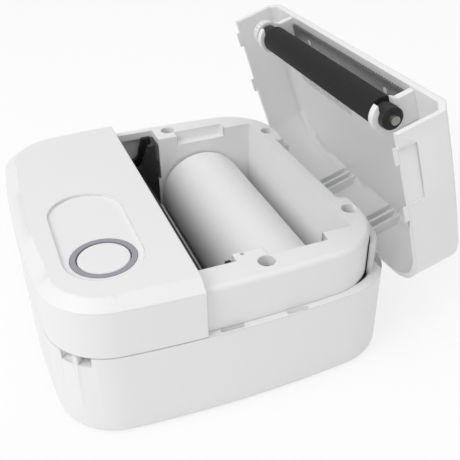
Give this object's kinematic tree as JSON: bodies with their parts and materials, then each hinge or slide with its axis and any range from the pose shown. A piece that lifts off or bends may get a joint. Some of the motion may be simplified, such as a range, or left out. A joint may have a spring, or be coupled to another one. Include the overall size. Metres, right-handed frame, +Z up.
{
  "type": "pocket thermal printer",
  "caption": "Pocket label printer: rounded white case, paper roll in an open well, hinged cover with rubber platen and tear-off blade, round power button.",
  "frame": {"origin": "centre of the base, on the surface it stands on", "axes": "+X along the platen towards the platen's plain end, -Y towards the button side, +Z up"},
  "size_m": [0.0808, 0.0959, 0.0622],
  "materials": {
    "aluminium": "satin",
    "battery_wrap": "satin",
    "black_plastic": "matte",
    "black_rubber": "matte",
    "blade_steel": "brushed",
    "board_green": "satin",
    "brass": "satin",
    "card": "matte",
    "ceramic": "satin",
    "foot_rubber": "matte",
    "grey_trim": "satin",
    "paper": "matte",
    "screw_steel": "satin",
    "steel": "brushed",
    "white_abs": "satin",
    "white_gear": "satin"
  },
  "bodies": {
    "base": {"bottom_case": "white_abs", "front_cover": "white_abs", "deck_frame": "white_abs", "button_light_ring": "grey_trim", "rubber_feet": "foot_rubber", "hinge_pin": "steel", "deck_screws": "screw_steel", "case_screws": "screw_steel", "print_head_frame": "black_plastic", "heat_sink": "aluminium", "thermal_head": "ceramic", "stepper_motor": "steel", "gear_shafts": "steel", "paper_sensor": "black_plastic", "main_board": "board_green", "battery_pack": "battery_wrap", "charging_board": "board_green", "usb_socket": "steel"},
    "cover": {"rear_cover": "white_abs", "cutter_blade": "blade_steel", "platen_bushings": "black_plastic"},
    "platen": {"platen_shaft": "steel", "platen_rubber": "black_rubber", "platen_gear": "white_gear"},
    "button": {"power_button": "white_abs"},
    "roll": {"paper_roll": "paper", "paper_core": "card"},
    "drive": {"drive_gear": "white_gear"},
    "idler": {"idler_gear": "white_gear"},
    "pinion": {"motor_pinion": "brass"}
  },
  "joints": [
    {"name": "cover_hinge", "type": "hinge", "parent": "base", "child": "cover", "pos_m": [0, 0.03595, 0.01393], "axis": [1, 0, 0], "range_deg": [0, 72.6]},
    {"name": "platen_spin", "type": "hinge", "parent": "cover", "child": "platen", "pos_m": [0, 0.03608, 0.05657], "axis": [1, 0, 0], "continuous": true},
    {"name": "power_button_press", "type": "slide", "parent": "base", "child": "button", "axis": [0, 0, -1], "range_m": [0, 0.0004], "stiffness_N_per_m": 800, "springref_m": -0.0002},
    {"name": "paper_roll_spin", "type": "hinge", "parent": "base", "child": "roll", "pos_m": [0, 0.0146, 0.01395], "axis": [1, 0, 0], "continuous": true},
    {"name": "drive_gear_spin", "type": "hinge", "parent": "base", "child": "drive", "pos_m": [-0.032, -0.0099, 0.0191], "axis": [1, 0, 0], "continuous": true},
    {"name": "idler_gear_spin", "type": "hinge", "parent": "base", "child": "idler", "pos_m": [-0.032, -0.0165, 0.01533], "axis": [1, 0, 0], "continuous": true},
    {"name": "motor_spin", "type": "hinge", "parent": "base", "child": "pinion", "pos_m": [-0.032, -0.021, 0.01273], "axis": [1, 0, 0], "continuous": true}
  ],
  "couplings": [
    {"joint": "idler_gear_spin", "follows": "drive_gear_spin", "ratio": -1.375},
    {"joint": "motor_spin", "follows": "drive_gear_spin", "ratio": 2.2}
  ]
}
